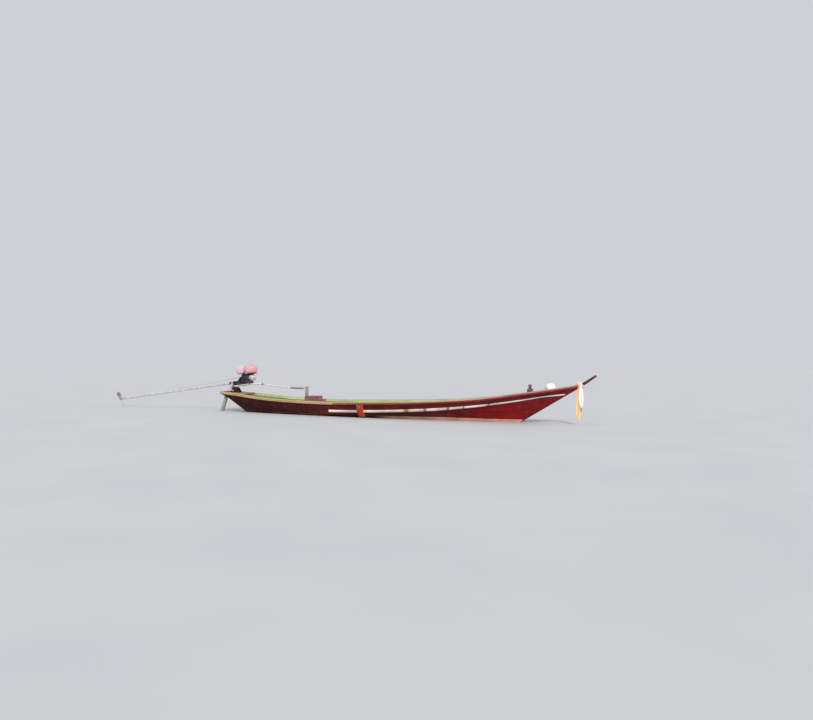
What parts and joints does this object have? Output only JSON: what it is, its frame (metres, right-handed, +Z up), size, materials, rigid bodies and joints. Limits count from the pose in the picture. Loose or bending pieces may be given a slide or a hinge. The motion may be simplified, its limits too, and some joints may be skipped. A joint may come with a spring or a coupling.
{
  "type": "wooden longtail boat",
  "caption": "Narrow open wooden boat with raked bow and transom, thwarts, prow ribbons and a swivelling, tilting long-shaft outboard engine with tiller and propeller.",
  "frame": {"origin": "on the waterline, at the middle of the hull's length between stern tip and stem head, on the centreline", "axes": "+X towards the bow, +Y to port, +Z up"},
  "size_m": [11.8773, 1.3604, 1.4553],
  "materials": {
    "maroon_paint": "dull maroon oil paint over planks, scuffed and sun-faded",
    "red_paint": "faded red oil paint over wood",
    "rail_wood": "bare tan hardwood, worn and greyed",
    "white_paint": "chipped white paint with bare butts",
    "orange_paint": "orange-red paint with yellow showing through",
    "cream_paint": "cream bottom paint, water-stained",
    "lime_paint": "lime green inside paint, worn",
    "grey_wood": "weathered pale wood",
    "box_paint": "dull mauve-red paint on boards",
    "steel": "dull steel tube with water marks",
    "dark_steel": "dark painted steel, oily",
    "aluminium": "cast aluminium, oily and dusty",
    "tank_paint": "sun-faded pinkish paint",
    "filter_plastic": "pale pink moulded plastic",
    "cover_paint": "off-white pressed steel cover",
    "brass": "dull cast bronze",
    "grip_rubber": "slate grey rubber hose grip",
    "float_plastic": "white float, chalky",
    "white_cloth": "thin white cotton",
    "yellow_cloth": "thin yellow-orange satin",
    "pink_cloth": "faded brown-pink gauze",
    "blue_rope": "dark blue twisted rope"
  },
  "bodies": {
    "hull": {"keel": "maroon_paint", "stem": "maroon_paint", "transom": "maroon_paint", "bottom_planking_starboard": "cream_paint", "bottom_planking_port": "cream_paint", "side_planking_starboard": "maroon_paint", "side_planking_port": "maroon_paint", "top_strake_starboard": "red_paint", "top_strake_port": "red_paint", "rail_aft_starboard": "rail_wood", "rail_aft_port": "rail_wood", "rail_fore_starboard": "red_paint", "rail_fore_port": "red_paint", "rub_strake_starboard": "white_paint", "rub_strake_port": "white_paint", "fender_strip_starboard": "orange_paint", "fender_strip_port": "orange_paint", "ribs_starboard": "lime_paint", "ribs_port": "lime_paint", "floor_timbers": "lime_paint", "floorboards_aft": "lime_paint", "floorboards_fore": "lime_paint", "thwart_1": "grey_wood", "thwart_2": "grey_wood", "thwart_3": "grey_wood", "thwart_4": "lime_paint", "foredeck": "maroon_paint", "sterndeck": "lime_paint", "bow_bitt": "red_paint", "bitt_rope": "blue_rope", "float_ball": "float_plastic", "prow_knot": "white_cloth", "ribbon_yellow": "yellow_cloth", "ribbon_pink": "pink_cloth", "ribbon_white": "white_cloth", "stern_board": "rail_wood", "engine_post": "grey_wood", "stern_leg": "grey_wood", "helm_box": "box_paint", "tiller_post": "grey_wood"},
    "box_lid": {"helm_box_lid": "box_paint"},
    "swivel": {"swivel_yoke": "dark_steel"},
    "engine_unit": {"engine_cradle": "dark_steel", "crankcase": "aluminium", "cylinder_fins": "aluminium", "air_cleaner": "filter_plastic", "tank_bracket": "dark_steel", "fuel_tank": "tank_paint", "tank_cap": "dark_steel", "fan_cover": "cover_paint", "muffler": "dark_steel", "shaft_coupling": "dark_steel", "shaft_tube": "steel", "shaft_stay": "steel", "tiller_tube": "steel", "tiller_grip": "grip_rubber"},
    "propeller_body": {"propeller": "brass"}
  },
  "joints": [
    {"name": "box_lid_hinge", "type": "hinge", "parent": "hull", "child": "box_lid", "pos_m": [-1.658, 0, 0.4066], "axis": [0, 1, 0], "range_deg": [0, 100]},
    {"name": "engine_steer", "type": "hinge", "parent": "hull", "child": "swivel", "pos_m": [-3.95, 0, 0.672], "axis": [0, 0, 1], "range_deg": [-60, 60]},
    {"name": "engine_tilt", "type": "hinge", "parent": "swivel", "child": "engine_unit", "pos_m": [-3.95, 0, 0.672], "axis": [0, -1, 0], "range_deg": [0, 12]},
    {"name": "propeller_spin", "type": "hinge", "parent": "engine_unit", "child": "propeller_body", "pos_m": [-7.3028, 0, 0.1918], "axis": [0.9899, 0, 0.1418], "continuous": true}
  ]
}
